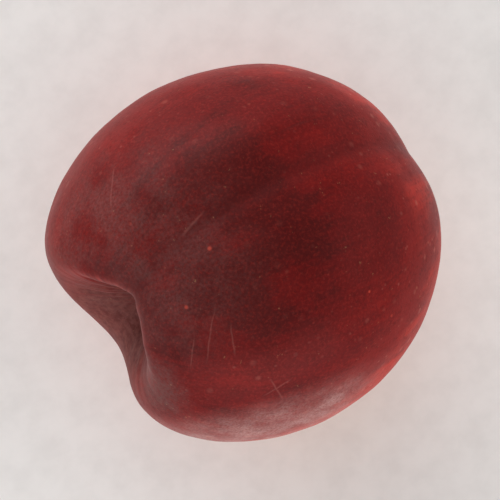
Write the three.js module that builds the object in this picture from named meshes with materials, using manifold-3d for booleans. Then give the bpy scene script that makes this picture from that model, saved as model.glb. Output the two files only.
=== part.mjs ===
// A whole nectarine, picked, with no stalk or leaf: one grown piece, resting on its side.
// Millimetres, +Z up. The origin is on the surface it rests on, under the middle of the fruit.
//
// The fruit is shaped as it grew: the stem end up (+Z), the suture on the +X side and a
// cheek on each side of it (+Y and -Y). It is then laid down, with the stem end towards +X
// and raised, and cut flat where it rests.
import * as THREE from 'three';
import { mergeVertices } from 'three/addons/utils/BufferGeometryUtils.js';
import Module from 'manifold-3d';

// How far the skin lies from the middle of the fruit
const CHEEK_RADIUS = 31.9;
const SUTURE_RADIUS = 34.2;
const BACK_RADIUS = 30.6;
const STEM_END_HEIGHT = 33.8;
const APEX_HEIGHT = 35.3;

// The shoulders swell round the stem end, most on the cheeks, and one cheek is the fuller.
// Angles are in degrees down from the stem end.
const SHOULDER = { swell: 0.025, angle: 44, spread: 24, shareOffCheek: 0.35 };
const FULLER_CHEEK = 0.01;

// The suture is a shallow valley from the stem cavity over to the apex, with a faint crease
// in it. It is deepest by the cavity and keeps a part of its depth at the apex. It bends
// aside, towards one cheek, as it comes to the cavity.
const SUTURE_VALLEY = { depth: 1.7, halfWidth: 7.5 };
const SUTURE_CREASE = { depth: 0.2, halfWidth: 1.6 };
const SUTURE_FADE = { from: 35, shareAtApex: 0.55 };
const SUTURE_BEND = { y: -3, spread: 38 };

// Opposite the suture, a wide dip runs down from the cavity and parts the two shoulders
const BACK_DIP = { depth: 7, halfWidth: 11.5, angle: 22, spread: 38 };

// The stem cavity is a round funnel that narrows to a point where the suture runs into it.
// A larger point makes it more pointed. Its reach is its half length along the suture, to the
// front or the back, over its half width. A larger wall number makes its wall steeper, and the
// wall changes from the front's number to the back's at this distance along the suture.
const CAVITY = { y: -1.6, depth: 12.5, halfWidth: 7.5, point: 0.5 };
const CAVITY_REACH = { front: 1.02, back: 1.1 };
const CAVITY_WALL = { front: 2.6, back: 1.6, changeAt: 4 };

// One shoulder stands up higher than the other and leans over the cavity
const LOBE = { height: 2.8, x: 0, y: 11.5, spread: 9.5 };

// The apex lies in a small shallow dimple
const APEX_DIMPLE = { depth: 0.9, halfWidth: 5 };

// The suture side passes into the back over about this distance
const SIDE_BLEND = 2.5;

// How it lies: the stem axis is raised from level, and the suture is turned off the top
const STEM_RISE = 30.5;
const SUTURE_TURN = 17;

// The small flat that it rests on is made by cutting this much off the lowest point
const FLAT_DEPTH = 0.8;

// Facets. They are closer together near the stem cavity and along the suture.
const FACETS_AROUND = 64;
const FACETS_DOWN = 42;
const CROWD_AT_STEM = 0.45;
const CROWD_AT_SUTURE = 0.35;
const MERGE_DISTANCE = 1e-4;

const wasm = await Module();
wasm.setup();

// A smooth hump of height 1 that falls away to either side of zero
function bell(distance, width) {
  return Math.exp(-((distance / width) ** 2));
}

// 1 well inside the suture side, 0 well inside the back
function sutureSide(x) {
  return 1 / (1 + Math.exp(-x / SIDE_BLEND));
}

// Distance from the middle to the plain, unfurrowed fruit in a direction
function bodyRadius(polar, azimuth) {
  const out = Math.sin(polar);
  const up = Math.cos(polar);
  const front = Math.cos(azimuth);
  const side = Math.sin(azimuth);
  const depth = front > 0 ? SUTURE_RADIUS : BACK_RADIUS;
  const height = up > 0 ? STEM_END_HEIGHT : APEX_HEIGHT;
  const oval = 1 / Math.hypot(out * front / depth, out * side / CHEEK_RADIUS, up / height);
  const angle = THREE.MathUtils.radToDeg(polar);
  const onCheek = THREE.MathUtils.lerp(SHOULDER.shareOffCheek, 1, side * side);
  const shoulder = 1 + SHOULDER.swell * bell(angle - SHOULDER.angle, SHOULDER.spread) * onCheek;
  const fuller = 1 + FULLER_CHEEK * side * out;
  return oval * shoulder * fuller;
}

// How deep the suture and the dip opposite it cut into the skin
function furrowDepth(polar, x, y) {
  const angle = THREE.MathUtils.radToDeg(polar);
  const past = THREE.MathUtils.clamp((angle - SUTURE_FADE.from) / (180 - SUTURE_FADE.from), 0, 1);
  const fade = THREE.MathUtils.lerp(SUTURE_FADE.shareAtApex, 1, Math.cos(past * Math.PI / 2));
  const beside = y - SUTURE_BEND.y * bell(angle, SUTURE_BEND.spread);
  const valley = SUTURE_VALLEY.depth * bell(beside, SUTURE_VALLEY.halfWidth);
  const crease = SUTURE_CREASE.depth * bell(beside, SUTURE_CREASE.halfWidth);
  const down = bell(angle - BACK_DIP.angle, BACK_DIP.spread);
  const dip = BACK_DIP.depth * bell(y, BACK_DIP.halfWidth) * down;
  return THREE.MathUtils.lerp(dip, fade * (valley + crease), sutureSide(x));
}

// How deep the stem cavity is below the shoulders at a place beside the stem axis
function cavityDepth(x, y) {
  const onSutureSide = sutureSide(x);
  const reach = THREE.MathUtils.lerp(CAVITY_REACH.back, CAVITY_REACH.front, onSutureSide);
  const power = 2 - CAVITY.point * onSutureSide;
  const along = Math.abs(x / reach) ** power;
  const across = Math.abs(y - CAVITY.y) ** power;
  const distance = (along + across) ** (1 / power);
  const wallSide = sutureSide(x - CAVITY_WALL.changeAt);
  const wall = THREE.MathUtils.lerp(CAVITY_WALL.back, CAVITY_WALL.front, wallSide);
  return CAVITY.depth * Math.exp(-((distance / CAVITY.halfWidth) ** wall));
}

// A point of the skin of the standing fruit
function skinPoint(polar, azimuth) {
  const body = bodyRadius(polar, azimuth);
  const out = Math.sin(polar);
  const aheadX = out * Math.cos(azimuth);
  const aheadY = out * Math.sin(azimuth);
  const radius = body - furrowDepth(polar, body * aheadX, body * aheadY);
  const point = new THREE.Vector3(aheadX, aheadY, Math.cos(polar)).multiplyScalar(radius);
  if (polar < Math.PI / 2) {
    const lobe = bell(Math.hypot(point.x - LOBE.x, point.y - LOBE.y), LOBE.spread);
    point.z += LOBE.height * lobe - cavityDepth(point.x, point.y);
  } else {
    point.z += APEX_DIMPLE.depth * bell(Math.hypot(point.x, point.y), APEX_DIMPLE.halfWidth);
  }
  return point;
}

// The standing fruit: a sphere whose every vertex is moved onto the skin
function standingFruit() {
  const fruit = new THREE.SphereGeometry(1, FACETS_AROUND, FACETS_DOWN);
  fruit.rotateX(Math.PI / 2);
  const positions = fruit.attributes.position;
  const direction = new THREE.Vector3();
  for (let i = 0; i < positions.count; i += 1) {
    direction.fromBufferAttribute(positions, i);
    const share = direction.angleTo(new THREE.Vector3(0, 0, 1)) / Math.PI;
    const polar = Math.PI * share * (1 - CROWD_AT_STEM * (1 - share));
    const even = Math.atan2(direction.y, direction.x);
    const azimuth = even - CROWD_AT_SUTURE * Math.sin(even);
    const point = skinPoint(polar, azimuth);
    positions.setXYZ(i, point.x, point.y, point.z);
  }
  return fruit;
}

// Lays the fruit down, with its lowest point just under the surface it rests on
function layDown(fruit) {
  fruit.rotateZ(THREE.MathUtils.degToRad(180 + SUTURE_TURN));
  fruit.rotateY(THREE.MathUtils.degToRad(90 - STEM_RISE));
  fruit.computeBoundingBox();
  fruit.translate(0, 0, -FLAT_DEPTH - fruit.boundingBox.min.z);
}

function toSolid(geometry) {
  geometry.deleteAttribute('normal');
  geometry.deleteAttribute('uv');
  const closed = mergeVertices(geometry, MERGE_DISTANCE);
  const vertProperties = new Float32Array(closed.attributes.position.array);
  const triVerts = new Uint32Array(closed.index.array);
  return new wasm.Manifold(new wasm.Mesh({ numProp: 3, vertProperties, triVerts }));
}

function toGeometry(solid) {
  const mesh = solid.getMesh();
  const geometry = new THREE.BufferGeometry();
  geometry.setAttribute('position', new THREE.BufferAttribute(mesh.vertProperties, mesh.numProp));
  geometry.setIndex(new THREE.BufferAttribute(mesh.triVerts, 1));
  return geometry;
}

// Everything below the surface that the fruit rests on
function underTheSurface() {
  const wide = 4 * APEX_HEIGHT;
  const block = new THREE.BoxGeometry(wide, wide, wide);
  block.translate(0, 0, -wide / 2);
  return block;
}

// Moves the fruit sideways so that the origin is under the middle of its box
function centreOverOrigin(geometry) {
  geometry.computeBoundingBox();
  const middle = geometry.boundingBox.getCenter(new THREE.Vector3());
  geometry.translate(-middle.x, -middle.y, 0);
}

function buildNectarine() {
  const fruit = standingFruit();
  layDown(fruit);
  const rested = toGeometry(toSolid(fruit).subtract(toSolid(underTheSurface())));
  centreOverOrigin(rested);
  rested.computeVertexNormals();
  const skin = new THREE.MeshStandardMaterial({ color: 0x74201f, roughness: 0.4, metalness: 0 });
  const nectarine = new THREE.Mesh(rested, skin);
  nectarine.name = 'nectarine';
  return nectarine;
}

const group = new THREE.Group();
group.add(buildNectarine());

export default group;
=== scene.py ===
# %% [markdown]
# # A whole nectarine, lying on its side
# This lesson dresses a plain CAD nectarine. The CAD solid already has the right size and
# place, but it is made of a few thousand flat facets in one colour. Here the same fruit is
# made again as a fine mesh that lies in exactly the same place, with folds round the stem
# cavity, the scar that the stalk left, and the colours of the skin. The first cell loads the
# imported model, and keeps its box as the size that must not change.

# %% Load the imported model
import math

import bpy
import numpy as np
from mathutils import Matrix, Vector, noise


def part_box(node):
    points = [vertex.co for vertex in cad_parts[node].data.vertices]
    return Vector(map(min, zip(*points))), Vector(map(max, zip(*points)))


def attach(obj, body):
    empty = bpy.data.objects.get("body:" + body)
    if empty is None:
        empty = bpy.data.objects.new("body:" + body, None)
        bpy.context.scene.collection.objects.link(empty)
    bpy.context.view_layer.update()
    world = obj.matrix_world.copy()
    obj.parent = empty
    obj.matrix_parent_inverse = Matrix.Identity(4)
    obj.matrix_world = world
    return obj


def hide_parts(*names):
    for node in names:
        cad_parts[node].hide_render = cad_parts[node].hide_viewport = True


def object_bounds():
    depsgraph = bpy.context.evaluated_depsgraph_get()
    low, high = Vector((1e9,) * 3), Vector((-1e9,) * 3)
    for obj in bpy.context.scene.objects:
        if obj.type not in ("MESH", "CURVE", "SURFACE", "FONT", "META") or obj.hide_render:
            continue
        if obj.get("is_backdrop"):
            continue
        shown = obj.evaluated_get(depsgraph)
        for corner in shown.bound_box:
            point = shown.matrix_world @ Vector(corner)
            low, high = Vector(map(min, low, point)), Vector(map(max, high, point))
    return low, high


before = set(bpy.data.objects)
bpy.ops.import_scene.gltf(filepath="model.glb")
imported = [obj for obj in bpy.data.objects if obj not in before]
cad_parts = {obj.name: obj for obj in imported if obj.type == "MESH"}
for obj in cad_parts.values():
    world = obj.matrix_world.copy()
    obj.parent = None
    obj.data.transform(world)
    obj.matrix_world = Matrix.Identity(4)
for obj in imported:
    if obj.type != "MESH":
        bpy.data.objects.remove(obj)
cad_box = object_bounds()
node_low, node_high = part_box("nectarine")
fruit_middle = (node_low + node_high) / 2
MM = 0.001
print("CAD box, mm:", [round(side / MM, 2) for side in node_high - node_low])

# %% [markdown]
# ## The shape of the fruit
# A nectarine is an oval body with four things pressed into or out of it: a long shallow
# suture from the stem end to the apex, a wide dip on the opposite side, a deep stem cavity,
# and one shoulder that stands higher than the other. Sculpting by hand would give a fruit
# that nobody could measure. Each of these is a smooth hump or hollow, so each is written
# here as a small formula in millimetres, with the same numbers that the CAD part uses.
# The fruit is shaped as it grew: stem end up (+Z), suture on the +X side, cheeks on +Y and -Y.
# Humps and blends come first, because everything else is made of them.


# %% Humps and blends
SIDE_BLEND = 2.5


def bell(distance, width):
    """A smooth hump of height 1 that falls away to either side of zero."""
    return np.exp(-((distance / width) ** 2))


def between(start, end, share):
    """The value that lies this share of the way from start to end."""
    return start + (end - start) * share


def suture_side(x):
    """1 well inside the suture side, 0 well inside the back."""
    return 1 / (1 + np.exp(-x / SIDE_BLEND))


print("a bell is", round(float(bell(1, 1)), 2), "high one width from its middle")

# %% [markdown]
# The plain body is an oval. It is longer towards the suture than towards the back, and its
# shoulders swell round the stem end, most on the cheeks. A squashed UV sphere would be the
# quick way, but its two halves would match, and a real fruit's never do. Angles are measured
# down from the stem end (polar) and round from the suture (azimuth).


# %% The plain body
CHEEK_RADIUS = 31.9
SUTURE_RADIUS = 34.2
BACK_RADIUS = 30.6
STEM_END_HEIGHT = 33.8
APEX_HEIGHT = 35.3
SHOULDER = {"swell": 0.025, "angle": 44, "spread": 24, "off_cheek": 0.35}
FULLER_CHEEK = 0.01


def body_radius(polar, azimuth):
    """Distance from the middle to the skin of the fruit before it is furrowed."""
    out, up = np.sin(polar), np.cos(polar)
    front, side = np.cos(azimuth), np.sin(azimuth)
    depth = np.where(front > 0, SUTURE_RADIUS, BACK_RADIUS)
    height = np.where(up > 0, STEM_END_HEIGHT, APEX_HEIGHT)
    oval = (out * front / depth) ** 2 + (out * side / CHEEK_RADIUS) ** 2 + (up / height) ** 2
    on_cheek = between(SHOULDER["off_cheek"], 1, side**2)
    past_shoulder = np.degrees(polar) - SHOULDER["angle"]
    shoulder = 1 + SHOULDER["swell"] * bell(past_shoulder, SHOULDER["spread"]) * on_cheek
    return shoulder * (1 + FULLER_CHEEK * side * out) / np.sqrt(oval)


print("radius at the suture, mm:", round(float(body_radius(math.pi / 2, 0.0)), 1))

# %% [markdown]
# The suture is a shallow valley with a faint crease along its middle. It is deepest by the
# stem cavity, bends aside as it comes to it, and fades towards the apex. A wide dip on the
# opposite side parts the shoulders. Cutting these with booleans would leave sharp banks, so
# they are taken off the radius as bells, which leave none.


# %% The suture and the dip opposite
SUTURE_VALLEY = {"depth": 1.7, "half_width": 7.5}
SUTURE_CREASE = {"depth": 0.2, "half_width": 1.6}
SUTURE_FADE = {"from": 35, "at_apex": 0.55}
SUTURE_BEND = {"y": -3, "spread": 38}
BACK_DIP = {"depth": 7, "half_width": 11.5, "angle": 22, "spread": 38}


def beside_suture(polar, y):
    """Distance across the skin from the line of the suture."""
    return y - SUTURE_BEND["y"] * bell(np.degrees(polar), SUTURE_BEND["spread"])


def back_dip_share(polar, x, y):
    """1 at the bottom of the dip opposite the suture, 0 outside it."""
    down = bell(np.degrees(polar) - BACK_DIP["angle"], BACK_DIP["spread"])
    return bell(y, BACK_DIP["half_width"]) * down * (1 - suture_side(x))


def furrow_depth(polar, x, y):
    """How deep the suture and the dip opposite it cut into the skin."""
    past = np.clip((np.degrees(polar) - SUTURE_FADE["from"]) / (180 - SUTURE_FADE["from"]), 0, 1)
    fade = between(SUTURE_FADE["at_apex"], 1, np.cos(past * math.pi / 2))
    beside = beside_suture(polar, y)
    valley = SUTURE_VALLEY["depth"] * bell(beside, SUTURE_VALLEY["half_width"])
    crease = SUTURE_CREASE["depth"] * bell(beside, SUTURE_CREASE["half_width"])
    suture = fade * (valley + crease) * suture_side(x)
    return suture + BACK_DIP["depth"] * back_dip_share(polar, x, y)


print("deepest part of the suture, mm:", SUTURE_VALLEY["depth"] + SUTURE_CREASE["depth"])

# %% [markdown]
# The stem cavity is a round funnel that narrows to a point where the suture runs into it, and
# one shoulder leans over it. The cavity is a bell too, with a power that makes its wall
# steeper at the front than at the back. The apex lies in a small dimple of its own.


# %% The stem cavity, the high shoulder and the apex
CAVITY = {"y": -1.6, "depth": 12.5, "half_width": 7.5, "point": 0.5}
CAVITY_REACH = {"front": 1.02, "back": 1.1}
CAVITY_WALL = {"front": 2.6, "back": 1.6, "change_at": 4}
LOBE = {"height": 2.8, "x": 0, "y": 11.5, "spread": 9.5}
APEX_DIMPLE = {"depth": 0.9, "half_width": 5}


def cavity_share(x, y):
    """1 at the bottom of the stem cavity, 0 outside it."""
    front = suture_side(x)
    reach = between(CAVITY_REACH["back"], CAVITY_REACH["front"], front)
    power = 2 - CAVITY["point"] * front
    along = np.abs(x / reach) ** power
    across = np.abs(y - CAVITY["y"]) ** power
    distance = (along + across) ** (1 / power)
    wall_side = suture_side(x - CAVITY_WALL["change_at"])
    wall = between(CAVITY_WALL["back"], CAVITY_WALL["front"], wall_side)
    return np.exp(-((distance / CAVITY["half_width"]) ** wall))


def skin_points(polar, azimuth):
    """The skin of the standing fruit, as rows of x, y, z in millimetres."""
    body = body_radius(polar, azimuth)
    ahead_x, ahead_y = np.sin(polar) * np.cos(azimuth), np.sin(polar) * np.sin(azimuth)
    radius = body - furrow_depth(polar, body * ahead_x, body * ahead_y)
    x, y, z = radius * ahead_x, radius * ahead_y, radius * np.cos(polar)
    lobe = LOBE["height"] * bell(np.hypot(x - LOBE["x"], y - LOBE["y"]), LOBE["spread"])
    stem_end = lobe - CAVITY["depth"] * cavity_share(x, y)
    apex = APEX_DIMPLE["depth"] * bell(np.hypot(x, y), APEX_DIMPLE["half_width"])
    return np.stack([x, y, z + np.where(polar < math.pi / 2, stem_end, apex)], axis=-1)


print("bottom of the cavity, mm up:", round(float(skin_points(0.0, 0.0)[2]), 1))

# %% [markdown]
# ## A fine mesh over the shape
# The skin is sampled on rings from the stem end to the apex, like the lines of a globe. That
# suits a nectarine better than an even grid, because rings and spokes can be crowded where
# its detail is, at the two ends and along the suture. About ninety thousand quads give a
# point every half millimetre, fine enough for folds and small dents to be real shape.

# %% Places of the rings and spokes
RINGS = 236
SPOKES = 400
CROWD_AT_ENDS = 0.5
CROWD_AT_SUTURE = 0.35

ring_share = np.arange(1, RINGS) / RINGS
ring_polar = math.pi * ring_share - CROWD_AT_ENDS * np.sin(2 * math.pi * ring_share) / 2
spoke_even = 2 * math.pi * np.arange(SPOKES) / SPOKES - math.pi
spoke_azimuth = spoke_even - CROWD_AT_SUTURE * np.sin(spoke_even)
grid_polar, grid_azimuth = np.meshgrid(ring_polar, spoke_azimuth, indexing="ij")
polar = np.concatenate([[0.0], grid_polar.ravel(), [math.pi]])
azimuth = np.concatenate([[0.0], grid_azimuth.ravel(), [0.0]])
grown = skin_points(polar, azimuth)
print("points on the skin:", len(grown))

# %% [markdown]
# The points are joined by quads between the rings, and each pole is closed with a fan of
# triangles, so that the mesh is one closed body. Every face lists its corners anticlockwise
# as seen from outside, which is how Blender knows the outside from the inside.


# %% Faces of the globe
def globe_faces(rings, spokes):
    """Quads between the rings and a fan at each pole, all facing outwards."""
    last = rings * spokes + 1
    tail = 1 + (rings - 1) * spokes
    faces = []
    for spoke in range(spokes):
        beside = (spoke + 1) % spokes
        faces.append((0, 1 + spoke, 1 + beside))
        for ring in range(rings - 1):
            upper = 1 + ring * spokes
            lower = upper + spokes
            faces.append((upper + spoke, lower + spoke, lower + beside, upper + beside))
        faces.append((last, tail + beside, tail + spoke))
    return faces


def new_mesh(name, points, faces):
    """A smooth-shaded mesh from lists of points and faces."""
    mesh = bpy.data.meshes.new(name)
    mesh.from_pydata([tuple(point) for point in points], [], faces)
    mesh.update()
    mesh.shade_smooth()
    return mesh


skin_mesh = new_mesh("nectarine_skin", grown, globe_faces(RINGS - 1, SPOKES))
print("faces:", len(skin_mesh.polygons))

# %% [markdown]
# ## Fine relief
# No fruit is as smooth as its formula. It swells a little unevenly, and it carries shallow
# dents from its neighbours. These are pushed in and out along the skin's own normal, which
# keeps them the same depth wherever they are. A Displace modifier could do it, but a few
# lines of numbers say exactly how deep each thing is, in millimetres.

# %% Swellings and dents
LUMP = {"height": 0.28, "size": 17.0, "octaves": 2}
RIPPLE = {"height": 0.05, "size": 4.5, "octaves": 3}
NOISE_FALL = 1.0
NOISE_STEP = 2.0
DENT_SEED = 11
DENT_COUNT = 16
DENT_DEPTHS = (0.08, 0.28)
DENT_WIDTHS = (1.6, 4.2)


def noise_over(points, size, octaves):
    """Smooth noise between about -1 and 1, with swellings of the given size."""
    scaled = [Vector(point) / size for point in points]
    return np.array([noise.fractal(place, NOISE_FALL, NOISE_STEP, octaves) for place in scaled])


def unit(vector):
    """The same direction with length 1."""
    return vector / np.linalg.norm(vector)


def dents(points):
    """Shallow round dents at places drawn with a fixed seed."""
    draw = np.random.default_rng(DENT_SEED)
    depth = np.zeros(len(points))
    for _ in range(DENT_COUNT):
        centre = points[np.argmax(points @ unit(draw.normal(size=3)))]
        width = draw.uniform(*DENT_WIDTHS)
        far = np.linalg.norm(points - centre, axis=1)
        depth += draw.uniform(*DENT_DEPTHS) * bell(far, width)
    return depth


relief = LUMP["height"] * noise_over(grown, LUMP["size"], LUMP["octaves"])
relief += RIPPLE["height"] * noise_over(grown, RIPPLE["size"], RIPPLE["octaves"])
relief -= dents(grown)
print("relief, mm:", round(relief.min(), 2), "to", round(relief.max(), 2))

# %% [markdown]
# The folds of the stem cavity run down its wall like the pleats of a bag drawn shut. Noise
# that changes quickly round the cavity and slowly down it gives pleats of uneven width. They
# are strongest half way down the wall, and die out on the shoulders.

# %% Folds round the stem cavity
FOLD_HEIGHT = 0.42
FOLD_WIDTH = 0.42
FOLD_LENGTH = 9.0
FOLD_OCTAVES = 3
MARKED = 0.5


def half_way(share):
    """1 where the share is one half, falling to 0 where it is 0 or 1."""
    return 4 * share * (1 - share)


cavity = np.where(polar < math.pi / 2, cavity_share(grown[:, 0], grown[:, 1]), 0.0)
round_cavity = [np.cos(azimuth) / FOLD_WIDTH, np.sin(azimuth) / FOLD_WIDTH]
pleats = np.stack([*round_cavity, grown[:, 2] / FOLD_LENGTH], axis=-1)
on_wall = half_way(cavity)
relief += FOLD_HEIGHT * on_wall * noise_over(pleats, 1.0, FOLD_OCTAVES)
print("points on the wall of the cavity:", int((on_wall > MARKED).sum()))

# %% [markdown]
# At the bottom of the cavity is the scar of the stalk: a small dry disk with a raised, torn
# rim round a pit. It could be a separate disk laid on the fruit, but the real one is the
# fruit's own torn flesh, so it is more relief in the same skin. The noise that tears its
# edge also makes its pit uneven.

# %% Stem scar
SCAR_RADIUS = 2.3
SCAR_EDGE = 0.12
SCAR_RIM_WIDTH = 0.5
SCAR_RIM_HEIGHT = 0.45
SCAR_PIT_DEPTH = 0.5
SCAR_TEAR = 0.3
TEAR_SIZE = 0.7
TEAR_OCTAVES = 3
PIT_UNEVEN = 0.6
FAR_OUT = 40

from_stem = np.hypot(grown[:, 0], grown[:, 1] - CAVITY["y"])
from_stem = np.where(polar < math.pi / 2, from_stem, np.inf)
torn = noise_over(grown, TEAR_SIZE, TEAR_OCTAVES)
past_scar = from_stem - SCAR_RADIUS * (1 + SCAR_TEAR * torn)
scar = 1 / (1 + np.exp(np.clip(past_scar / SCAR_EDGE, -FAR_OUT, FAR_OUT)))
relief += SCAR_RIM_HEIGHT * (1 + torn) * bell(past_scar, SCAR_RIM_WIDTH)
relief -= SCAR_PIT_DEPTH * scar * (1 + PIT_UNEVEN * torn)
print("points on the scar:", int((scar > MARKED).sum()))

# %% [markdown]
# At the other end of the fruit the flower's style leaves a tiny hard point in the apex
# dimple. A brown spot alone would look painted on, so the point is real shape. With it the
# relief is complete, and the skin is moved by it.

# %% Apex point, and the relief on the skin
TIP_RADIUS = 0.75
TIP_HEIGHT = 0.75


def skin_normals(mesh):
    """The outward direction at every point of a mesh."""
    normals = np.empty(3 * len(mesh.vertices), dtype=np.float32)
    mesh.vertices.foreach_get("normal", normals)
    return normals.reshape(-1, 3)


from_apex = np.where(polar > math.pi / 2, np.hypot(grown[:, 0], grown[:, 1]), np.inf)
tip = bell(from_apex, TIP_RADIUS)
relief += TIP_HEIGHT * tip
grown = grown + relief[:, None] * skin_normals(skin_mesh)
print("points on the tip:", int((tip > MARKED).sum()))

# %% [markdown]
# ## Lay the fruit down in its place
# The fruit lies with its stem end raised and its suture turned a little off the top. The
# place comes from the CAD box: the plain shape is laid down first, and is moved so that its
# box has the same middle as the CAD node and its lowest point is just under the surface.

# %% Lay the fruit down
STEM_RISE = 30.5
SUTURE_TURN = 17
FLAT_DEPTH = 0.8

turn = Matrix.Rotation(math.radians(180 + SUTURE_TURN), 3, "Z")
tilt = Matrix.Rotation(math.radians(90 - STEM_RISE), 3, "Y")
lay_down = np.array(tilt @ turn)


def place_offset(plain):
    """How far the laid fruit has to move to lie where the CAD node lies."""
    lying = plain @ lay_down.T
    low, high = lying.min(axis=0), lying.max(axis=0)
    offset = np.array(fruit_middle) / MM - (low + high) / 2
    offset[2] = -FLAT_DEPTH - low[2]
    return offset


laid = grown @ lay_down.T + place_offset(skin_points(polar, azimuth))
print("lowest point before it is pressed flat, mm:", round(float(laid[:, 2].min()), 2))

# %% [markdown]
# Whatever would sink below the surface is pressed up, so that the fruit rests on a small
# flat. Clamping the heights would leave a hard edge round it. A softened clamp lets the skin
# curve away from the flat, as soft flesh does. The piece is then made and told which CAD body
# it moves with, and the CAD node that it stands for is hidden.

# %% Press the flat and make the piece
PRESS_SOFTNESS = 0.25


def press_flat(height):
    """Lifts what is below zero to just above it, and leaves the rest almost alone."""
    return (height + np.sqrt(height**2 + PRESS_SOFTNESS**2)) / 2


laid[:, 2] = press_flat(laid[:, 2])
laid[:, 2] -= laid[:, 2].min()
skin_mesh.vertices.foreach_set("co", (laid * MM).astype(np.float32).ravel())
skin_mesh.update()
nectarine = bpy.data.objects.new("nectarine_fruit", skin_mesh)
bpy.context.scene.collection.objects.link(nectarine)
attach(nectarine, "root")
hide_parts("nectarine")
print("laid fruit, mm:", np.round(laid.min(axis=0), 2), np.round(laid.max(axis=0), 2))

# %% [markdown]
# ## What the skin needs to know about its place
# The colours of a nectarine follow its growth: streaks run from stem to apex, the side that
# had the sun is darkest, and the cavity is different again. A material can't guess these, so
# they are stored on the mesh's points as named values, which the shader reads with Attribute
# nodes. The grown position, in millimetres, is stored as well, so that every pattern has a
# real size and stays with the fruit however it is laid.

# %% Store the values on the mesh
SUN_FROM = (0.8, -0.1, 0.6)
SUTURE_SHADE_WIDTH = 2.0


def store(name, kind, values):
    """Keeps one number or one vector for every point of the skin."""
    attribute = skin_mesh.attributes.new(name, kind, "POINT")
    field = "vector" if kind == "FLOAT_VECTOR" else "value"
    attribute.data.foreach_set(field, np.asarray(values, dtype=np.float32).ravel())


direction = grown / np.linalg.norm(grown, axis=1)[:, None]
sun = (1 + direction @ unit(np.array(SUN_FROM))) / 2
suture_shade_mask = bell(beside_suture(polar, grown[:, 1]), SUTURE_SHADE_WIDTH)
back_dip = back_dip_share(polar, grown[:, 0], grown[:, 1])
store("grown", "FLOAT_VECTOR", grown)
store("around", "FLOAT_VECTOR", np.stack([np.cos(azimuth), np.sin(azimuth), polar], axis=-1))
store("sun", "FLOAT", sun)
store("cavity", "FLOAT", cavity)
store("hollow", "FLOAT", np.maximum(cavity, back_dip))
# The suture mask places a painted shade along the suture's valley.
store("suture", "FLOAT", suture_shade_mask * suture_side(grown[:, 0]))
store("scar", "FLOAT", scar)
store("tip", "FLOAT", tip)
print("values and lists on the mesh:", len(skin_mesh.attributes))

# %% [markdown]
# A map of the skin onto a flat sheet lets the colours be baked into an image when the model
# is used elsewhere. Smart UV Project would cut the fruit into many islands. The globe's own
# rings and spokes make a map with one seam, which runs down the back.


# %% Unroll the skin
def corner_lists(mesh):
    """The vertex and the face of every corner of every face, as two lists."""
    vertex = np.empty(len(mesh.loops), dtype=np.int32)
    mesh.loops.foreach_get("vertex_index", vertex)
    starts = np.empty(len(mesh.polygons), dtype=np.int32)
    mesh.polygons.foreach_get("loop_start", starts)
    corners_of_face = np.diff(np.append(starts, len(vertex)))
    return vertex, np.repeat(np.arange(len(starts)), corners_of_face)


def unroll(mesh, rings, spokes):
    """A map with the spokes across and the rings down."""
    vertex, face = corner_lists(mesh)
    strip = face // (rings + 1)
    at_pole = (vertex == 0) | (vertex > rings * spokes)
    spoke = np.where(at_pole, 0, (vertex - 1) % spokes)
    ring = (vertex + spokes - 1) // spokes
    past_seam = (strip == spokes - 1) & (spoke == 0)
    across = np.where(past_seam, spokes, spoke)
    across = np.where(at_pole, (2 * strip + 1) / 2, across)
    place = np.stack([across / spokes, 1 - ring / (rings + 1)], axis=-1)
    mesh.uv_layers.new(name="OFBake").data.foreach_set("uv", place.astype(np.float32).ravel())


unroll(skin_mesh, RINGS - 1, SPOKES)
print("maps:", [sheet.name for sheet in skin_mesh.uv_layers])

# %% [markdown]
# ## Small tools for shader trees
# Shader trees built in code get long when every node takes five lines. With helpers that
# make one node and hand back its output, a material reads like a recipe. The first ones do
# sums: everything that a material knows about a place is a number or a vector.


# %% Helpers that do sums with nodes
def feed(tree, socket, value):
    """Links the socket if the value is another node's output, and sets it otherwise."""
    if isinstance(value, bpy.types.NodeSocket):
        tree.links.new(value, socket)
    else:
        socket.default_value = value


def feed_named(tree, node, values):
    """Feeds a node's inputs by their names."""
    for label, value in values.items():
        feed(tree, node.inputs[label], value)


def sum_node(tree, kind, operation, values):
    """A node that does one sum with the values in order, as its outputs."""
    node = tree.nodes.new(kind)
    node.operation = operation
    for socket, value in zip(node.inputs, values):
        feed(tree, socket, value)
    return node.outputs


def maths(tree, operation, *values):
    """A Math node."""
    return sum_node(tree, "ShaderNodeMath", operation, values)[0]


def times(tree, first, second):
    """Two values multiplied."""
    return maths(tree, "MULTIPLY", first, second)


def plus(tree, first, second):
    """Two values added."""
    return maths(tree, "ADD", first, second)


def flipped(tree, value):
    """1 where the value is 0, and 0 where it is 1."""
    return maths(tree, "SUBTRACT", 1.0, value)


def vector_maths(tree, operation, *values):
    """A Vector Math node, which gives a number for a length or a dot product."""
    outputs = sum_node(tree, "ShaderNodeVectorMath", operation, values)
    gives_number = operation in ("LENGTH", "DOT_PRODUCT", "DISTANCE")
    return outputs["Value" if gives_number else "Vector"]


def step(tree, value, low, high):
    """A soft step: 0 on the low side of low, 1 on the high side of high."""
    node = tree.nodes.new("ShaderNodeMapRange")
    node.interpolation_type = "SMOOTHSTEP"
    feed_named(tree, node, {"Value": value, "From Min": low, "From Max": high})
    return node.outputs[0]


print("sum helpers: maths, times, plus, flipped, vector_maths, step")

# %% [markdown]
# The next helpers bring in a pattern, a colour or one of the values stored on the mesh. The
# Mix node keeps a pair of inputs for each kind of thing that it can mix, all with the same
# names, so its colour sockets are picked by their numbers.

# %% Helpers for patterns, colours and stored values
MIX_UNDER = 6
MIX_OVER = 7
MIX_RESULT = 2
NOISE_MIDDLE = 0.5


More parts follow.
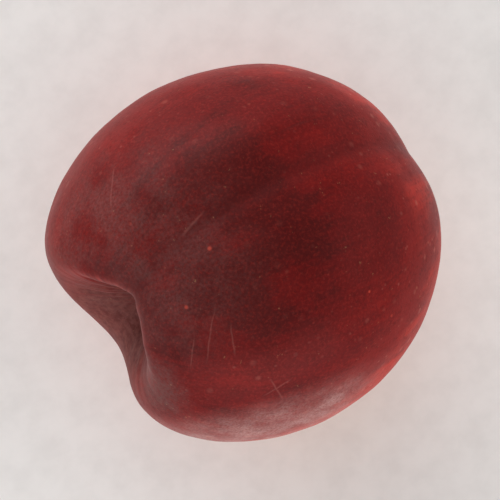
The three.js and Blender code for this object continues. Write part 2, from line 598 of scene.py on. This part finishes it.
def noise_node(tree, place, scale, detail=2.0, roughness=0.5, distortion=0.0):
    """A Noise Texture node: smooth noise that lies about one half."""
    node = tree.nodes.new("ShaderNodeTexNoise")
    grain = {"Detail": detail, "Roughness": roughness, "Distortion": distortion}
    feed_named(tree, node, {"Vector": place, "Scale": scale, **grain})
    return node.outputs[0]


def shifted(tree, pattern, amount):
    """Noise that lies about one half, turned into a shift up or down."""
    return times(tree, maths(tree, "SUBTRACT", pattern, NOISE_MIDDLE), amount)


def tint(tree, share, under, over):
    """Mixes a colour over another by a share."""
    node = tree.nodes.new("ShaderNodeMix")
    node.data_type = "RGBA"
    node.clamp_factor = True
    feed(tree, node.inputs["Factor"], share)
    feed(tree, node.inputs[MIX_UNDER], under)
    feed(tree, node.inputs[MIX_OVER], over)
    return node.outputs[MIX_RESULT]


def stored(tree, name, output="Fac"):
    """A value that was stored on the mesh's points."""
    node = tree.nodes.new("ShaderNodeAttribute")
    node.attribute_name = name
    return node.outputs[output]


print("pattern helpers: noise_node, shifted, tint, stored")

# %% [markdown]
# ## Effects that are used again and again
# An effect that is used more than once is built as a node group: a small tree with named
# inputs, which can be placed in any material with other values. Copying its nodes each time
# would work, but a change would then have to be made in every copy. Each group here puts out
# one mask, between 0 and 1.

# %% Make and place a node group
FLOAT = "NodeSocketFloat"
VECTOR = "NodeSocketVector"


def new_group(name, **inputs):
    """An empty node group with a place, the given inputs, and one output, Mask."""
    group = bpy.data.node_groups.new(name, "ShaderNodeTree")
    for label, value in {"Place": (0, 0, 0), **inputs}.items():
        kind = VECTOR if isinstance(value, tuple) else FLOAT
        socket = group.interface.new_socket(label, in_out="INPUT", socket_type=kind)
        socket.default_value = value
    group.interface.new_socket("Mask", in_out="OUTPUT", socket_type=FLOAT)
    taken = group.nodes.new("NodeGroupInput").outputs
    given = group.nodes.new("NodeGroupOutput").inputs["Mask"]
    return group, taken, given


def place_group(tree, group, **values):
    """Places a group in a tree with its own values, and hands back its mask."""
    node = tree.nodes.new("ShaderNodeGroup")
    node.node_tree = group
    feed_named(tree, node, values)
    return node.outputs["Mask"]


print("groups so far:", len(bpy.data.node_groups))

# %% [markdown]
# Speckle is a grainy noise cut off softly, so that only its peaks show. The fine red grain of
# the skin, its patches of haze, and the faint mottle of the floor are all speckle, so it is
# the first group. A larger Scale makes finer speckle.

# %% Speckle
GRAIN_DETAIL = 3.0
GRAIN_ROUGHNESS = 0.62

speckle, taken, given = new_group("speckle", Scale=1.0, Start=0.45, Full=0.65)
grain = noise_node(speckle, taken["Place"], taken["Scale"], GRAIN_DETAIL, GRAIN_ROUGHNESS)
feed(speckle, given, step(speckle, grain, taken["Start"], taken["Full"]))
print("nodes in speckle:", len(speckle.nodes))

# %% [markdown]
# The pale dots of a nectarine are its lenticels, the pores that it breathes through. They lie
# at fairly even distances, which is just what a Voronoi pattern does: each cell gets a dot in
# its middle. The cells are larger than the dots, every cell draws its own dot size, and cells
# that draw a small number get no dot at all. Spacing and Dot are in millimetres.

# %% Lenticels
NO_DOT_BELOW = 0.35
DOT_CORE = 0.3
DOT_EDGE = 1.1
TINY = 0.001

lenticels, taken, given = new_group("lenticels", Spacing=2.0, Dot=0.3)
cells = lenticels.nodes.new("ShaderNodeTexVoronoi")
feed(lenticels, cells.inputs["Vector"], taken["Place"])
feed(lenticels, cells.inputs["Scale"], maths(lenticels, "DIVIDE", 1.0, taken["Spacing"]))
cell_draw = lenticels.nodes.new("ShaderNodeSeparateColor")
feed(lenticels, cell_draw.inputs[0], cells.outputs["Color"])
has_dot = step(lenticels, cell_draw.outputs[0], NO_DOT_BELOW, 1.0)
reach = plus(lenticels, times(lenticels, has_dot, taken["Dot"]), TINY)
far = times(lenticels, cells.outputs["Distance"], taken["Spacing"])
off_dot = step(lenticels, maths(lenticels, "DIVIDE", far, reach), DOT_CORE, DOT_EDGE)
feed(lenticels, given, flipped(lenticels, off_dot))
print("nodes in lenticels:", len(lenticels.nodes))

# %% [markdown]
# Hairline scuffs are where a neighbour's skin or a box edge has drawn a faint line through
# the haze. Each lies on a plane through the skin, wobbles a little, and fades out at its
# ends. One group draws one scuff, and the skin places it several times.

# %% Hairline scuffs
WOBBLE_SCALE = 0.35
FADE_FROM = 0.4

scuff_line = {"Middle": (0, 0, 0), "Across": (1, 0, 0)}
scuff_sizes = {"Width": 0.12, "Length": 8.0, "Wobble": 0.6}
scuff, taken, given = new_group("scuff", **scuff_line, **scuff_sizes)
from_middle = vector_maths(scuff, "SUBTRACT", taken["Place"], taken["Middle"])
wander = shifted(scuff, noise_node(scuff, taken["Place"], WOBBLE_SCALE), taken["Wobble"])
aside = plus(scuff, vector_maths(scuff, "DOT_PRODUCT", from_middle, taken["Across"]), wander)
off_line = maths(scuff, "DIVIDE", maths(scuff, "ABSOLUTE", aside), taken["Width"])
on_line = flipped(scuff, step(scuff, off_line, 0.0, 1.0))
far = maths(scuff, "DIVIDE", vector_maths(scuff, "LENGTH", from_middle), taken["Length"])
not_past_end = flipped(scuff, step(scuff, far, FADE_FROM, 1.0))
feed(scuff, given, times(scuff, on_line, not_past_end))
print("nodes in scuff:", len(scuff.nodes))

# %% [markdown]
# ## The skin
# The colour of a nectarine is red painted thinly over yellow. Where the sun reached it the
# red is so deep that it is almost black, and where a leaf or a neighbour shaded it the
# yellow comes through. So one number, the blush, is worked out first, from the stored sun
# value and noise of several sizes. Painting the colours by hand would need a huge image.
# The streaks are noise stretched from stem to apex.

# %% How far each place has blushed
PATCH = {"scale": 0.075, "share": 0.7}
MOTTLE = {"scale": 0.42, "share": 0.14, "detail": 4.0, "roughness": 0.6}
STREAK = {"stretch": (11.0, 11.0, 1.3), "share": 0.34, "detail": 3.0, "bend": 0.4}
FINE_STREAK = {"stretch": (34.0, 34.0, 3.0), "share": 0.16, "detail": 2.0, "bend": 0.0}
STREAK_ROUGHNESS = 0.6

skin = bpy.data.materials.new("nectarine_skin")
skin.use_nodes = True
tree = skin.node_tree
surface = tree.nodes["Principled BSDF"]
skin_mesh.materials.append(skin)
grown_place = stored(tree, "grown", "Vector")
around_place = stored(tree, "around", "Vector")


def streaks_like(settings):
    """Noise stretched from stem to apex."""
    place = vector_maths(tree, "MULTIPLY", around_place, settings["stretch"])
    return noise_node(tree, place, 1.0, settings["detail"], STREAK_ROUGHNESS, settings["bend"])


patches = noise_node(tree, grown_place, PATCH["scale"])
mottle = noise_node(tree, grown_place, MOTTLE["scale"], MOTTLE["detail"], MOTTLE["roughness"])
streaks = streaks_like(STREAK)
fine_streaks = streaks_like(FINE_STREAK)
blush = stored(tree, "sun")
patterns = [(patches, PATCH), (mottle, MOTTLE), (streaks, STREAK), (fine_streaks, FINE_STREAK)]
for pattern, settings in patterns:
    blush = plus(tree, blush, shifted(tree, pattern, settings["share"]))
print("patterns in the blush:", len(patterns))

# %% [markdown]
# A colour ramp turns the blush into a colour: yellow where it is shaded, through scarlet and
# crimson, to maroon in full sun. Each stop is a colour that a nectarine shows somewhere, and
# the easing between stops keeps any band edge from showing.

# %% Yellow, scarlet, crimson and maroon
BLUSH_COLOURS = [
    (0.00, (0.72, 0.28, 0.05, 1)),
    (0.16, (0.58, 0.09, 0.025, 1)),
    (0.36, (0.38, 0.018, 0.010, 1)),
    (0.62, (0.175, 0.006, 0.005, 1)),
    (0.86, (0.115, 0.004, 0.004, 1)),
    (1.00, (0.072, 0.004, 0.004, 1)),
]

ramp = tree.nodes.new("ShaderNodeValToRGB")
stops = ramp.color_ramp
stops.interpolation = "EASE"
for share, _ in BLUSH_COLOURS[1:-1]:
    stops.elements.new(share)
for stop, (share, colour) in zip(stops.elements, BLUSH_COLOURS):
    stop.position = share
    stop.color = colour
feed(tree, ramp.inputs[0], blush)
red = ramp.outputs[0]
print("blush colours:", len(stops.elements))

# %% [markdown]
# Under a lens the red isn't even: it is a dust of darker and lighter grains, each cell of the
# skin holding more or less of it. Two layers of speckle give that grain, one to darken and
# one to brighten, so that neither has to be strong enough to look like a print.

# %% Grain of the red
DARK_GRAIN = (0.045, 0.004, 0.004, 1)
DARK_GRAIN_SHARE = 0.32
BRIGHT_GRAIN = (0.42, 0.030, 0.020, 1)
BRIGHT_GRAIN_SHARE = 0.2
DARK_SPECKLE = {"Scale": 1.3, "Start": 0.46, "Full": 0.70}
BRIGHT_SPECKLE = {"Scale": 2.0, "Start": 0.42, "Full": 0.78}

dark_grain = place_group(tree, speckle, Place=grown_place, **DARK_SPECKLE)
bright_grain = place_group(tree, speckle, Place=grown_place, **BRIGHT_SPECKLE)
red = tint(tree, times(tree, dark_grain, DARK_GRAIN_SHARE), red, DARK_GRAIN)
red = tint(tree, times(tree, bright_grain, BRIGHT_GRAIN_SHARE), red, BRIGHT_GRAIN)
print("grain colours:", DARK_GRAIN[:3], BRIGHT_GRAIN[:3])

# %% [markdown]
# The lenticels are only clear where the red is bright, and are nearly lost in the dark of the
# sunny side, so their share follows the blush. A few places have a small bright fleck of
# scarlet instead, where the red never filled in. They are the same group, set far apart.

# %% Lenticels and red flecks
PALE_DOT = (0.42, 0.13, 0.10, 1)
DOT_SHARE = 0.40
DOTS_FADE = (0.45, 0.95)
DOTS_LEFT_IN_DARK = 0.1
RED_FLECK = (0.60, 0.07, 0.04, 1)
RED_FLECK_SHARE = 0.55
LARGE_DOTS = {"Spacing": 2.6, "Dot": 0.8}
SMALL_DOTS = {"Spacing": 1.4, "Dot": 0.35}
FLECKS = {"Spacing": 6.5, "Dot": 0.5}

large_dots = place_group(tree, lenticels, Place=grown_place, **LARGE_DOTS)
small_dots = place_group(tree, lenticels, Place=grown_place, **SMALL_DOTS)
dots = maths(tree, "MAXIMUM", large_dots, small_dots)
in_bright_red = plus(tree, flipped(tree, step(tree, blush, *DOTS_FADE)), DOTS_LEFT_IN_DARK)
dot_share = times(tree, times(tree, dots, in_bright_red), DOT_SHARE)
red = tint(tree, dot_share, red, PALE_DOT)
flecks = place_group(tree, lenticels, Place=grown_place, **FLECKS)
red = tint(tree, times(tree, flecks, RED_FLECK_SHARE), red, RED_FLECK)
print("lenticels apart, mm:", LARGE_DOTS["Spacing"], "and", SMALL_DOTS["Spacing"])

# %% [markdown]
# A painted highlight runs round the lip of the stem cavity: a brighter red line, broken up by
# the streaks, for the light that catches the lip. Inside the cavity the skin turns brownish
# and dull. One soft step on the stored hollow would draw a ring, so the streaks push its edge
# up and down first.

# %% Stem cavity
LIP_PAINTED_HIGHLIGHT = (0.34, 0.035, 0.030, 1)
LIP_AT = 0.14
LIP_HIGHLIGHT_SHARE = 0.7
LIP_STREAKS = (0.32, 0.66)
CAVITY_BROWN = (0.150, 0.052, 0.044, 1)
CAVITY_DARK = (0.070, 0.017, 0.015, 1)
CAVITY_SHARE = 0.8
CAVITY_STREAKS = 0.5
DEEP = (0.10, 0.85)
CAVITY_SPECKLE = {"Scale": 0.8, "Start": 0.30, "Full": 0.70}

off_lip = maths(tree, "ABSOLUTE", maths(tree, "SUBTRACT", stored(tree, "cavity"), LIP_AT))
lip_highlight = flipped(tree, step(tree, off_lip, 0.0, LIP_AT))
lip_highlight = times(tree, lip_highlight, step(tree, streaks, *LIP_STREAKS))
# Painted highlight: a brighter red line along the lip of the cavity.
red = tint(tree, times(tree, lip_highlight, LIP_HIGHLIGHT_SHARE), red, LIP_PAINTED_HIGHLIGHT)
hollow = stored(tree, "hollow")
for pattern in (streaks, fine_streaks):
    hollow = plus(tree, hollow, shifted(tree, pattern, CAVITY_STREAKS))
deep_in = step(tree, hollow, *DEEP)
cavity_dust = place_group(tree, speckle, Place=grown_place, **CAVITY_SPECKLE)
cavity_skin = tint(tree, cavity_dust, CAVITY_DARK, CAVITY_BROWN)
red = tint(tree, times(tree, deep_in, CAVITY_SHARE), red, cavity_skin)
print("cavity colours:", CAVITY_BROWN[:3], CAVITY_DARK[:3])

# %% [markdown]
# The suture gets a painted shade: a darker red along its line, for the shade that falls in its
# valley. The scar at the bottom of the cavity and the point at the apex are dry cork, light
# brown with darker grain. All three are laid over the skin with the masks that were stored on
# the mesh, so they sit exactly on their shapes.

# %% Painted shade on the suture, scar and apex point
SUTURE_PAINTED_SHADE = (0.060, 0.006, 0.006, 1)
SUTURE_SHADE_SHARE = 0.35
CORK = (0.31, 0.155, 0.090, 1)
CORK_DARK = (0.075, 0.036, 0.018, 1)
TIP_EDGE = (0.35, 0.8)
CORK_SPECKLE = {"Scale": 3.0, "Start": 0.40, "Full": 0.60}

# Painted shade: a darker red along the suture, for the shade in its valley.
red = tint(tree, times(tree, stored(tree, "suture"), SUTURE_SHADE_SHARE), red, SUTURE_PAINTED_SHADE)
cork_grain = place_group(tree, speckle, Place=grown_place, **CORK_SPECKLE)
cork = tint(tree, cork_grain, CORK, CORK_DARK)
on_scar = stored(tree, "scar")
red = tint(tree, on_scar, red, cork)
red = tint(tree, step(tree, stored(tree, "tip"), *TIP_EDGE), red, cork)
print("cork colours:", CORK[:3], CORK_DARK[:3])

# %% [markdown]
# A picked nectarine wears a thin bloom of natural wax. It greys the dark red and dulls the
# gloss. Handling takes it off the cheeks and the apex first, so it is kept towards the stem
# end, and lies there in soft patches. A sheen on the whole fruit would be quicker, but sheen
# can't come and go over the skin in an exported model, and a tint in the base colour can.

# %% Bloom
BLOOM = (0.185, 0.088, 0.083, 1)
BLOOM_SHARE = 0.32
BARE_SHARE = 0.05
DUST_FLOOR = 0.4
STEM_END = (6.0, 32.0)
BARE_CHEEK = (-6.0, -24.0)
HAZE_SHIFT = (40.0, 10.0, -25.0)
HAZE_SPECKLE = {"Scale": 0.10, "Start": 0.24, "Full": 0.62}
DUST_SPECKLE = {"Scale": 1.8, "Start": 0.22, "Full": 0.78}

grown_axes = tree.nodes.new("ShaderNodeSeparateXYZ")
feed(tree, grown_axes.inputs[0], grown_place)
near_stem = step(tree, grown_axes.outputs["Z"], *STEM_END)
off_cheek = flipped(tree, step(tree, grown_axes.outputs["Y"], *BARE_CHEEK))
kept = plus(tree, times(tree, times(tree, near_stem, off_cheek), 1 - BARE_SHARE), BARE_SHARE)
haze_place = vector_maths(tree, "ADD", grown_place, HAZE_SHIFT)
haze = place_group(tree, speckle, Place=haze_place, **HAZE_SPECKLE)
dust = place_group(tree, speckle, Place=grown_place, **DUST_SPECKLE)
bloom = times(tree, times(tree, haze, kept), plus(tree, dust, DUST_FLOOR))
bloom = times(tree, bloom, flipped(tree, on_scar))
red = tint(tree, times(tree, bloom, BLOOM_SHARE), red, BLOOM)
print("bloom lies above, mm:", STEM_END[0])

# %% [markdown]
# A pale painted sheen lies low on one cheek and out to its edge: the satin reflection of light
# from below, painted into the colour. It fades in along one direction across the fruit and
# fades out towards the apex and the back, and two speckles break it up, a fine one and a wide
# one.

# %% Painted sheen low on one cheek
PAINTED_SHEEN = (0.48, 0.30, 0.28, 1)
PAINTED_SHEEN_SHARE = 0.5
PAINTED_SHEEN_WAY = (-0.5, -0.8, 0.0)
SHEEN_CHEEK = (16.5, 24.0)
SHEEN_END = (-12.0, 4.0)
SHEEN_BACK = (-26.0, -8.0)
UNEVEN_FLOOR = 0.5
SHEEN_MOTTLE_SPECKLE = {"Scale": 2.4, "Start": 0.0, "Full": 0.85}
UNEVEN_SPECKLE = {"Scale": 0.22, "Start": 0.25, "Full": 0.75}

along_way = vector_maths(tree, "DOT_PRODUCT", grown_place, PAINTED_SHEEN_WAY)
sheen_on_cheek = step(tree, along_way, *SHEEN_CHEEK)
before_apex = step(tree, grown_axes.outputs["Z"], *SHEEN_END)
before_back = step(tree, grown_axes.outputs["X"], *SHEEN_BACK)
sheen_mottle = place_group(tree, speckle, Place=grown_place, **SHEEN_MOTTLE_SPECKLE)
uneven = place_group(tree, speckle, Place=grown_place, **UNEVEN_SPECKLE)
painted_sheen = times(tree, times(tree, sheen_on_cheek, before_apex), before_back)
painted_sheen = times(tree, painted_sheen, times(tree, sheen_mottle, plus(tree, uneven, UNEVEN_FLOOR)))
# Painted sheen: a pale reflection of light from below, mixed into the base colour.
red = tint(tree, times(tree, painted_sheen, PAINTED_SHEEN_SHARE), red, PAINTED_SHEEN)
print("pale bloom from and full at, mm:", SHEEN_CHEEK)

# %% [markdown]
# Anything that touched the fruit has left a mark in the bloom. Each hairline scuff is given
# the way a road is: where its middle is, which way it heads, and how long and wide it is.
# Lines drawn on an image would blur close up, and these stay sharp.

# %% Hairline scuffs on the skin
SCUFF_COLOUR = (0.36, 0.13, 0.11, 1)
SCUFF_SHARE = 0.18
SCUFFS = [
    {"polar": 51, "azimuth": 2, "heading": 14, "length": 3.5, "width": 0.34},
    {"polar": 44, "azimuth": -42, "heading": -108, "length": 6.0, "width": 0.22},
    {"polar": 50, "azimuth": -45, "heading": -91, "length": 3.6, "width": 0.27},
    {"polar": 38, "azimuth": -50, "heading": -101, "length": 4.0, "width": 0.20},
    {"polar": 42, "azimuth": 40, "heading": -146, "length": 5.0, "width": 0.27},
    {"polar": 63, "azimuth": -69, "heading": -61, "length": 4.0, "width": 0.27},
    {"polar": 63, "azimuth": -68, "heading": 39, "length": 3.5, "width": 0.27},
    {"polar": 80, "azimuth": 75, "heading": 25, "length": 7.0, "width": 0.28},
    {"polar": 110, "azimuth": -130, "heading": 60, "length": 8.0, "width": 0.28},
    {"polar": 95, "azimuth": 150, "heading": -30, "length": 7.0, "width": 0.28},
]
SMALL_ANGLE = 0.001


def road_on_skin(polar, azimuth, heading):
    """A place on the skin, and the direction across a line that leaves it at a heading.

    The heading is measured from the way to the apex. All angles are in degrees.
    """
    down_angle, round_angle = math.radians(polar), math.radians(azimuth)
    here = skin_points(down_angle, round_angle)
    to_apex = unit(skin_points(down_angle + SMALL_ANGLE, round_angle) - here)
    sideways = unit(skin_points(down_angle, round_angle + SMALL_ANGLE) - here)
    turned_by = math.radians(heading)
    across = math.cos(turned_by) * sideways - math.sin(turned_by) * to_apex
    return tuple(here), tuple(across)


scuffs = 0.0
for one in SCUFFS:
    middle, across = road_on_skin(one["polar"], one["azimuth"], one["heading"])
    sizes = {"Width": one["width"], "Length": one["length"]}
    drawn = place_group(tree, scuff, Place=grown_place, Middle=middle, Across=across, **sizes)
    scuffs = maths(tree, "MAXIMUM", scuffs, drawn)
red = tint(tree, times(tree, scuffs, SCUFF_SHARE), red, SCUFF_COLOUR)
print("scuffs:", len(SCUFFS))

# %% [markdown]
# One wider patch beside the stem cavity was rubbed grey by a neighbour. It is a soft spot
# with a ragged edge: the distance from its middle, pushed in and out by the mottle. A few
# corky specks of russet, where a twig touched the young fruit, finish the colour.

# %% Rubbed patch and russet specks
RUB = {"polar": 26, "azimuth": -88, "radius": 9.0, "core": 3.15}
RUB_COLOUR = (0.120, 0.055, 0.052, 1)
RUB_SHARE = 0.6
RUB_FLOOR = 0.3
RUSSET = (0.33, 0.15, 0.07, 1)
RUSSET_SHARE = 0.35
RUSSET_SPECKLE = {"Scale": 0.9, "Start": 0.69, "Full": 0.74}

rub_middle, _ = road_on_skin(RUB["polar"], RUB["azimuth"], 0)
rub_far = vector_maths(tree, "DISTANCE", grown_place, rub_middle)
rub_far = plus(tree, rub_far, shifted(tree, mottle, RUB["radius"]))
rubbed = flipped(tree, step(tree, rub_far, RUB["core"], RUB["radius"]))
rubbed = times(tree, rubbed, plus(tree, dust, RUB_FLOOR))
red = tint(tree, times(tree, rubbed, RUB_SHARE), red, RUB_COLOUR)
specks = place_group(tree, speckle, Place=grown_place, **RUSSET_SPECKLE)
red = tint(tree, times(tree, specks, RUSSET_SHARE), red, RUSSET)
feed(tree, surface.inputs["Base Color"], red)
print("rubbed patch across, mm:", 2 * RUB["radius"])

# %% [markdown]
# ## Gloss
# Nectarine skin is smooth and faintly waxy: a soft gloss under the bloom, and quite dull on
# cork. One roughness for the whole fruit would make it look moulded, so the same masks that
# coloured the skin also dull it.

# %% Roughness
GLOSSY = 0.5
BLOOM_DULLS = 0.14
GRAIN_DULLS = 0.06
CAVITY_DULLS = 0.25
CORK_ROUGHNESS = 0.85
SPECKS_ARE_CORK = 0.6

rough = plus(tree, times(tree, bloom, BLOOM_DULLS), GLOSSY)
rough = plus(tree, rough, times(tree, dark_grain, GRAIN_DULLS))
rough = plus(tree, rough, times(tree, deep_in, CAVITY_DULLS))
on_cork = maths(tree, "MAXIMUM", on_scar, times(tree, specks, SPECKS_ARE_CORK))
rough = maths(tree, "MAXIMUM", rough, times(tree, on_cork, CORK_ROUGHNESS))
feed(tree, surface.inputs["Roughness"], rough)
print("roughness from", GLOSSY, "to", CORK_ROUGHNESS)

# %% [markdown]
# The pores and cells of the skin show only as a very fine unevenness in the reflections. They
# are a few hundredths of a millimetre deep, far less than the mesh could hold, so they are a
# bump. The lenticels sink a little, and the cork's grain stands up.

# %% Fine bump
PEEL_SCALE = 2.2
PEEL_DETAIL = 3.0
PEEL_ROUGHNESS = 0.6
PEEL_DEPTH = 0.035
DOTS_SINK = 0.5

peel = noise_node(tree, grown_place, PEEL_SCALE, PEEL_DETAIL, PEEL_ROUGHNESS)
height = maths(tree, "SUBTRACT", peel, times(tree, dots, DOTS_SINK))
height = plus(tree, height, times(tree, on_cork, cork_grain))
bump = tree.nodes.new("ShaderNodeBump")
bump.inputs["Distance"].default_value = PEEL_DEPTH * MM
bump.inputs["Strength"].default_value = 1.0
feed(tree, bump.inputs["Height"], height)
feed(tree, surface.inputs["Normal"], bump.outputs[0])
print("peel depth, mm:", PEEL_DEPTH)

# %% [markdown]
# Some things are the same all over: the skin's own weak shine, a thin coat of wax, the sheen
# of its dust, and a little light that sinks into the flesh and comes out red. They are set
# straight on the shader's sockets, where an exported model can find them.

# %% The values that are the same all over
ALL_OVER = {
    "IOR": 1.45,
    "Specular IOR Level": 0.06,
    "Sheen Weight": 0.07,
    "Sheen Roughness": 0.3,
    "Coat Weight": 0.03,
    "Coat Roughness": 0.28,
    "Subsurface Weight": 0.06,
    "Subsurface Radius": (1.0, 0.25, 0.15),
    "Subsurface Scale": 3.0 * MM,
}

for label, value in ALL_OVER.items():
    surface.inputs[label].default_value = value
print("nodes in the skin:", len(tree.nodes))

# %% [markdown]
# ## A plain floor to rest on
# The floor is a wide pale disk that curves up far away, like a studio's paper sweep, so that
# no horizon shows behind the fruit. A plane would end in a hard line. The sweep is turned
# from one profile, as a bowl is on a wheel.

# %% Shape of the floor
FLOOR_RADIUS = 2.2
FLAT_RINGS = (0.1, 0.3, 0.6, 1.0)
SWEEP_RADIUS = 1.2
SWEEP_STEPS = 14
FLOOR_SPOKES = 96


def sweep_profile():
    """Distance from the middle, and height, from the inside outwards."""
    profile = [(FLOOR_RADIUS * share, 0.0) for share in FLAT_RINGS]
    for number in range(1, SWEEP_STEPS + 1):
        lean = math.pi / 2 * number / SWEEP_STEPS
        out = FLOOR_RADIUS + SWEEP_RADIUS * math.sin(lean)
        profile.append((out, SWEEP_RADIUS * (1 - math.cos(lean))))
    return profile


def turned(name, profile, spokes):
    """Turns a profile round the upright axis into a dish that is closed in the middle."""
    points = [(0.0, 0.0, 0.0)]
    for radius, height in profile:
        for spoke in range(spokes):
            angle = 2 * math.pi * spoke / spokes
            points.append((radius * math.cos(angle), radius * math.sin(angle), height))
    faces = [(0, 1 + spoke, 1 + (spoke + 1) % spokes) for spoke in range(spokes)]
    for ring in range(len(profile) - 1):
        inner = 1 + ring * spokes
        outer = inner + spokes
        for spoke in range(spokes):
            beside = (spoke + 1) % spokes
            faces.append((inner + spoke, outer + spoke, outer + beside, inner + beside))
    return new_mesh(name, points, faces)


floor = bpy.data.objects.new("paper_floor", turned("paper_floor", sweep_profile(), FLOOR_SPOKES))
bpy.context.scene.collection.objects.link(floor)
floor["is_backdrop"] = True
print("floor faces:", len(floor.data.polygons))

# %% [markdown]
# The floor is matt, warm-white paper. Even paper isn't one flat colour, so the speckle group
# is placed again, scaled for a place measured in metres, for a mottle that is only just
# there.

# %% Paper
PAPER = (0.80, 0.79, 0.78, 1)
PAPER_SHADE = (0.74, 0.73, 0.72, 1)
PAPER_ROUGHNESS = 0.7
PAPER_SPECKLE = {"Scale": 180.0, "Start": 0.3, "Full": 0.8}

paper = bpy.data.materials.new("paper_floor")
paper.use_nodes = True
paper_tree = paper.node_tree
paper_surface = paper_tree.nodes["Principled BSDF"]
paper_place = paper_tree.nodes.new("ShaderNodeTexCoord").outputs["Object"]
mottled = place_group(paper_tree, speckle, Place=paper_place, **PAPER_SPECKLE)
paper_colour = tint(paper_tree, mottled, PAPER, PAPER_SHADE)
feed(paper_tree, paper_surface.inputs["Base Color"], paper_colour)
paper_surface.inputs["Roughness"].default_value = PAPER_ROUGHNESS
floor.data.materials.append(paper)
print("nodes in the paper:", len(paper_tree.nodes))

# %% [markdown]
# ## Camera
# The fruit is seen from straight above, as fruit lying in a tray is. A long lens keeps its
# outline free of perspective. The camera is turned about its own axis so that the stem
# cavity is at the lower left, with the suture rising from it to the right.

# %% Camera above the fruit
CAMERA_TURN = 156.5
CAMERA_DISTANCE = 0.95
FRAME_WIDTH = 0.086
SENSOR_WIDTH = 36.0
CLIP_END = 20.0

camera_data = bpy.data.cameras.new("camera")
camera_data.sensor_width = SENSOR_WIDTH
camera_data.lens = SENSOR_WIDTH * CAMERA_DISTANCE / FRAME_WIDTH
camera_data.clip_end = CLIP_END
camera = bpy.data.objects.new("camera", camera_data)
camera.location = fruit_middle + Vector((0, 0, CAMERA_DISTANCE))
camera.rotation_euler = (0, 0, math.radians(CAMERA_TURN))
bpy.context.scene.collection.objects.link(camera)
bpy.context.scene.camera = camera
print("lens, mm:", round(camera_data.lens))

# %% [markdown]
# ## Light
# Soft light comes in low from one side and, weaker, from the others, as daylight does through
# the clear walls of a tray. One light overhead would flatten the fruit. Low light leaves its
# top dark and draws a brighter rim round it. The lights are placed as the camera sees them,
# clockwise from the right of its view.

# %% Soft lights round the fruit
LIGHT_DISTANCE = 0.9
LIGHTS = [
    {"name": "key", "clock": 72, "rise": 8, "size": (1.1, 0.4), "power": 5.5},
    {"name": "right", "clock": 350, "rise": 20, "size": (1.0, 0.4), "power": 2.5},
    {"name": "back", "clock": 245, "rise": 15, "size": (1.1, 0.4), "power": 8.5},
    {"name": "left", "clock": 140, "rise": 15, "size": (1.0, 0.4), "power": 3.2},
]

turned_by = math.radians(CAMERA_TURN)
view_right = Vector((math.cos(turned_by), math.sin(turned_by), 0))
view_down = Vector((math.sin(turned_by), -math.cos(turned_by), 0))


def soft_light(name, clock, rise, size, power):
    """A rectangular light that faces the fruit."""
    clock_angle, lift = math.radians(clock), math.radians(rise)
    level = view_right * math.cos(clock_angle) + view_down * math.sin(clock_angle)
    toward = level * math.cos(lift) + Vector((0, 0, math.sin(lift)))
    data = bpy.data.lights.new(name, "AREA")
    data.shape = "RECTANGLE"
    data.size, data.size_y = size
    data.energy = power
    light = bpy.data.objects.new(name, data)
    light.visible_camera = False
    light.location = fruit_middle + toward * LIGHT_DISTANCE
    light.rotation_mode = "QUATERNION"
    light.rotation_quaternion = (-toward).to_track_quat("-Z", "Y")
    bpy.context.scene.collection.objects.link(light)


for settings in LIGHTS:
    soft_light(**settings)
print("lights:", [settings["name"] for settings in LIGHTS])

# %% [markdown]
# An even, slightly warm light from all round fills the shadows, as a studio's white walls
# do. The Standard view keeps the reds as they were mixed, where Blender's usual view would
# wash them out.

# %% Light from all round
SKY_COLOUR = (1.0, 0.99, 0.97, 1)
SKY_STRENGTH = 0.5

world = bpy.data.worlds.new("studio")
world.use_nodes = True
sky = world.node_tree.nodes["Background"]
sky.inputs["Color"].default_value = SKY_COLOUR
sky.inputs["Strength"].default_value = SKY_STRENGTH
bpy.context.scene.world = world
bpy.context.scene.view_settings.view_transform = "Standard"
print("sky strength:", SKY_STRENGTH)

# %% [markdown]
# ## The size of the fruit
# The visual fruit has to keep the CAD part's size, so both boxes are gathered at the end, and
# the visual one is printed in millimetres, like the CAD box at the start, to show whether the
# relief made the fruit grow.

# %% Gather the sizes
visual_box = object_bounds()
sizes = {
    "cad_box": [list(corner) for corner in cad_box],
    "visual_box": [list(corner) for corner in visual_box],
}
print("visual box, mm:", [round(side / MM, 2) for side in visual_box[1] - visual_box[0]])
